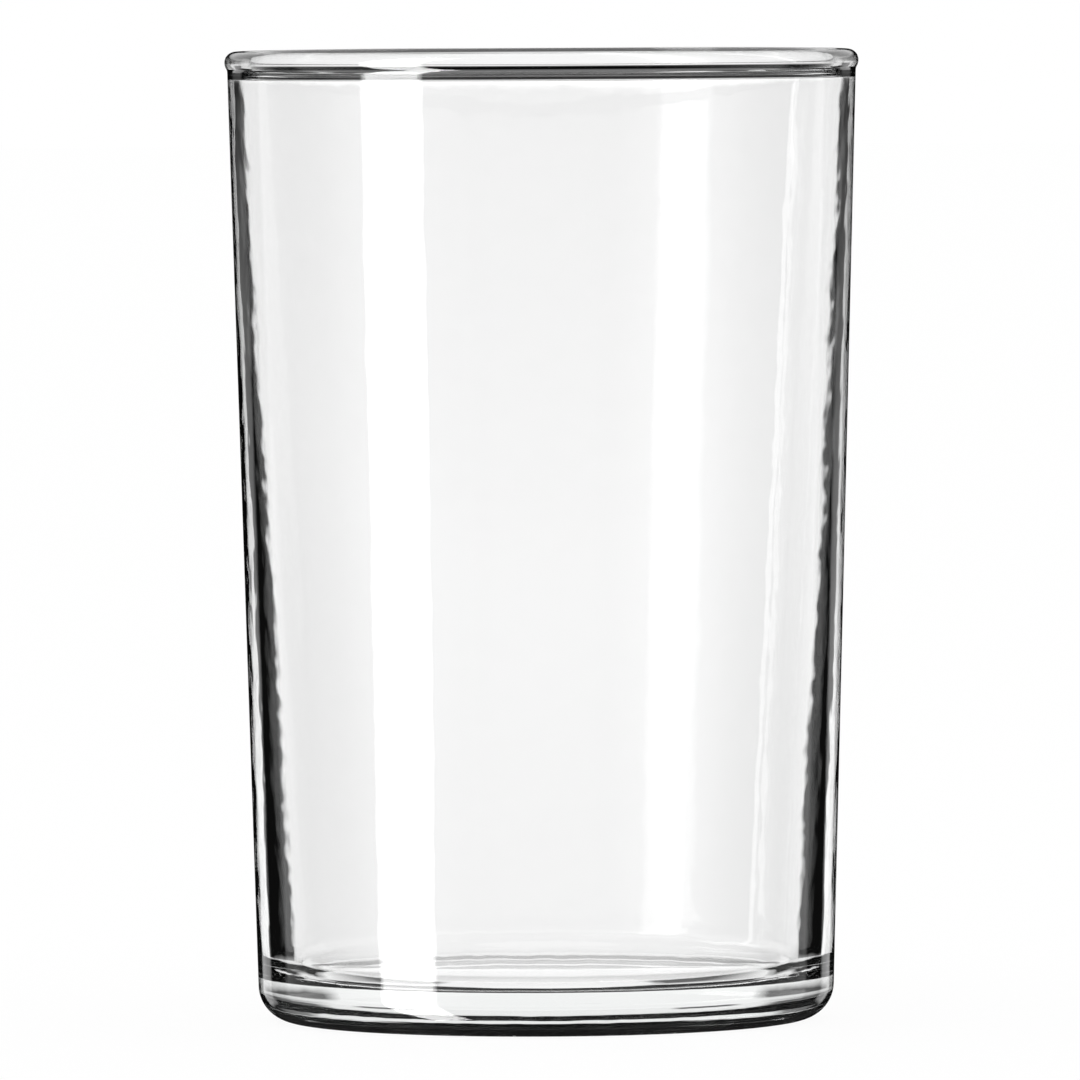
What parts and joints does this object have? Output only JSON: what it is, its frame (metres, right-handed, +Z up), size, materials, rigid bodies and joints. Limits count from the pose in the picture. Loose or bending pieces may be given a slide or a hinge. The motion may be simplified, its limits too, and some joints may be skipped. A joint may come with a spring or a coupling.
{
  "type": "seltzer glass",
  "caption": "Clear straight-sided drinking glass for seltzer, slightly tapered, with a rounded rim bead, a wall that thickens downwards and a heavy base with a rounded heel.",
  "frame": {"origin": "centre of the ring that the glass stands on, in the plane of the table", "axes": "+Z up along the glass's axis, towards the mouth; X and Y are free, because the glass is round"},
  "size_m": [0.064, 0.064, 0.098],
  "materials": {
    "clear_glass": "clear soda-lime glass, fire-polished and glossy, lightly scuffed on the ring it stands on"
  },
  "bodies": {
    "root": {"rim_bead": "clear_glass", "side_wall": "clear_glass", "base": "clear_glass"}
  },
  "joints": []
}
